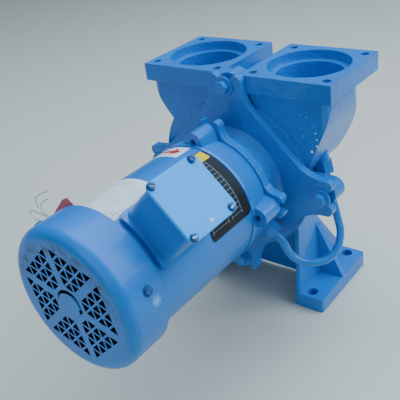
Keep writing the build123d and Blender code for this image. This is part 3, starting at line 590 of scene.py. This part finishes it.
# Hang tag: a red card with a pale cut edge, wedged upright between shell and fan cover on the far
# side, with the loose ends of its twisted tie wires.
tag_outline = [(-36.1, 76.9), (-25.8, 68.6)]
tag_outline += [(70.65 * math.sin(math.radians(a)), 70.65 * math.cos(math.radians(a)))
                for a in range(-18, -53, -5)]
tag_outline += [(-63.0, 51.9), (-44.3, 72.1)]
tag_shape = bmesh.new()
tag_faces = []
for depth in (-211.6, -212.3):
    tag_faces.append([tag_shape.verts.new(from_shaft(x, depth, z)) for x, z in tag_outline])
    tag_shape.faces.new(tag_faces[-1])
for i in range(len(tag_outline)):
    j = (i + 1) % len(tag_outline)
    tag_shape.faces.new((tag_faces[0][i], tag_faces[0][j], tag_faces[1][j], tag_faces[1][i])).material_index = 1
hang_tag = piece_of("hang_tag", tag_shape)
card, card_tree, card_shader = finish_of("red_card", **{"Roughness": 0.5})
card_place = add(card_tree, "ShaderNodeTexCoord").outputs["Object"]
card_fibre = add(card_tree, "ShaderNodeTexNoise", {"Vector": card_place, "Scale": 120.0, "Detail": 5.0})
card_tone = add(card_tree, "ShaderNodeMix", {"Factor": card_fibre.outputs["Fac"], "A": linear("#DC4A58"),
                                             "B": linear("#F4737C")}, data_type="RGBA")
card_tree.links.new(card_tone.outputs["Result"], card_shader.inputs["Base Color"])
dress(hang_tag, card)
hang_tag.data.materials.append(paper)

tie_ends = [[(-57, 44), (-66, 45.5), (-74.3, 47.6), (-84.2, 53), (-86, 61.5), (-77.6, 70.2), (-60.2, 78.1)],
            [(-57, 45), (-71, 48.5), (-78.5, 54.4), (-74.8, 62.1), (-61.5, 70.4)],
            [(-58, 43), (-83.3, 39.5), (-93.7, 40.1), (-97, 47.4), (-87.3, 48.8), (-60, 46)]]
tie_line = bpy.data.curves.new("tie_wires", "CURVE")
tie_line.dimensions = "3D"
tie_line.bevel_depth = 0.00045
tie_line.bevel_resolution = 2
tie_line.use_fill_caps = True
for index, points in enumerate(tie_ends):
    twist = tie_line.splines.new("BEZIER")
    twist.bezier_points.add(len(points) - 1)
    for bend, (x, z) in zip(twist.bezier_points, points):
        bend.co = from_shaft(x, -213 - index * 1.1, z)
        bend.handle_left_type = bend.handle_right_type = "AUTO"
tie_holder = bpy.data.objects.new("tie_wires_line", tie_line)
bpy.context.collection.objects.link(tie_holder)
tie_mesh = bpy.data.meshes.new_from_object(tie_holder.evaluated_get(bpy.context.evaluated_depsgraph_get()))
bpy.data.objects.remove(tie_holder)
for face in tie_mesh.polygons:
    face.use_smooth = True
tie_wires = bpy.data.objects.new("tie_wires", tie_mesh)
bpy.context.collection.objects.link(tie_wires)
dress(tie_wires, screw_steel)

# Paint spots and chip: drops of white paint splashed on the right bowl and the star plate, and one
# star-shaped chip down to the pale primer on the box cover.
splash, splash_tree, splash_shader = finish_of("white_splash", **{"Roughness": 0.4})
splash_place = add(splash_tree, "ShaderNodeTexCoord").outputs["Object"]
splash_film = add(splash_tree, "ShaderNodeTexNoise", {"Vector": splash_place, "Scale": 500.0})
splash_tone = add(splash_tree, "ShaderNodeMix", {"Factor": splash_film.outputs["Fac"], "A": linear("#E3E9E6"),
                                                 "B": linear("#FFFFFA")}, data_type="RGBA")
splash_tree.links.new(splash_tone.outputs["Result"], splash_shader.inputs["Base Color"])
drops = [(97.8, 46.5, 1.8), (104.1, 54.2, 1.35), (104.4, 61.8, 1.0), (102.9, 69.0, 0.85), (85.0, 87.3, 0.5),
         (93.0, 86.1, 0.55), (87.7, 63.5, 0.5), (100.8, 76.7, 0.45), (86.3, 71.5, 0.4), (99.3, 54.0, 0.4)]
splash_shape = bmesh.new()
chance = random.Random(7)
for x, z, size in drops:
    found, seat, normal, _ = nodes["casing"].closest_point_on_mesh(from_shaft(x, 14, z))
    blob = bmesh.ops.create_icosphere(splash_shape, subdivisions=2, radius=size / 1000)["verts"]
    lay = normal.to_track_quat("Z", "Y").to_matrix()
    for vert in blob:
        ragged = 1 + 0.12 * (chance.random() - 0.5)
        vert.co = seat + lay @ Vector((vert.co.x * ragged, vert.co.y * ragged, vert.co.z * 0.3))
for face in splash_shape.faces:
    face.smooth = True
splashes = piece_of("paint_splashes", splash_shape)
dress(splashes, splash)

chip_shape = bmesh.new()
chip_middle = from_shaft(105.3, -174.3, 69.4)
chip_middle += box_out * (0.12352 - (chip_middle - from_shaft(0, -174.3, 0)).dot(box_out))
chip_rim = []
for i in range(10):
    turn = math.radians(36 * i + 14)
    reach = 0.0026 if i % 2 == 0 else 0.0010
    chip_rim.append(chip_middle + box_side * reach * math.cos(turn) + Vector((0, reach * math.sin(turn), 0)))
chip_top = [chip_shape.verts.new(place + box_out * 0.00012) for place in chip_rim]
chip_low = [chip_shape.verts.new(place) for place in chip_rim]
chip_shape.faces.new(chip_top)
chip_shape.faces.new(chip_low)
for i in range(10):
    j = (i + 1) % 10
    chip_shape.faces.new((chip_top[i], chip_top[j], chip_low[j], chip_low[i]))
paint_chip = piece_of("paint_chip", chip_shape)
dress(paint_chip, splash)

# Floor, lights and camera: plain pale floor, a broad soft light from the right and above, and the
# photograph's own view, solved from the pump's known sizes.
floor_paint, floor_tree, floor_shader = finish_of("floor_paint", **{"Base Color": linear("#E0D2BE"),
                                                                    "Roughness": 0.8})
bpy.ops.mesh.primitive_plane_add(size=12)
floor = bpy.context.object
floor.name = "floor"
floor.data.materials.append(floor_paint)

world = bpy.data.worlds.new("studio")
bpy.context.scene.world = world
world.use_nodes = True
world.node_tree.nodes["Background"].inputs["Color"].default_value = linear("#BCD8F6")
sky_way = add(world.node_tree, "ShaderNodeSeparateXYZ", {0: add(world.node_tree,
                                                                "ShaderNodeTexCoord").outputs["Generated"]})
sky_grade = add(world.node_tree, "ShaderNodeMapRange", {"Value": sky_way.outputs["Z"], "From Min": 0.0,
                                                        "From Max": 0.9, "To Min": 0.06, "To Max": 0.62})
world.node_tree.links.new(sky_grade.outputs[0], world.node_tree.nodes["Background"].inputs["Strength"])


def lamp(name, place, size, power, tint="#C6E5FF"):
    light = bpy.data.lights.new(name, "AREA")
    light.size = size
    light.energy = power
    light.color = linear(tint)[:3]
    holder = bpy.data.objects.new(name, light)
    bpy.context.collection.objects.link(holder)
    holder.location = place
    holder.rotation_euler = (Vector((0, -0.1, 0.15)) - Vector(place)).to_track_quat("-Z", "Y").to_euler()


lamp("key_light", (1.3, 0.5, 1.5), 1.7, 42)
lamp("top_light", (-0.2, 0.2, 1.9), 1.6, 34)
lamp("front_fill", (0.2, -2.2, 0.9), 1.6, 12)

camera_place = Vector((shaft_x + 0.40867, plate_depth - 0.53137, shaft_height + 0.3547))
camera_azimuth, camera_elevation, camera_roll = (math.radians(a) for a in (41.28, 29.44, -8.2))
back = Vector((math.sin(camera_azimuth) * math.cos(camera_elevation),
               -math.cos(camera_azimuth) * math.cos(camera_elevation), math.sin(camera_elevation)))
level = (-back).cross(Vector((0, 0, 1))).normalized()
upward = level.cross(-back)
right_axis = math.cos(camera_roll) * level + math.sin(camera_roll) * upward
up_axis = -math.sin(camera_roll) * level + math.cos(camera_roll) * upward
camera_data = bpy.data.cameras.new("photo_camera")
camera_data.lens = 57.66
camera_data.sensor_width = 36.0
camera = bpy.data.objects.new("photo_camera", camera_data)
bpy.context.collection.objects.link(camera)
camera.matrix_world = Matrix.Translation(camera_place) @ Matrix((right_axis, up_axis, back)).transposed().to_4x4()
bpy.context.scene.camera = camera
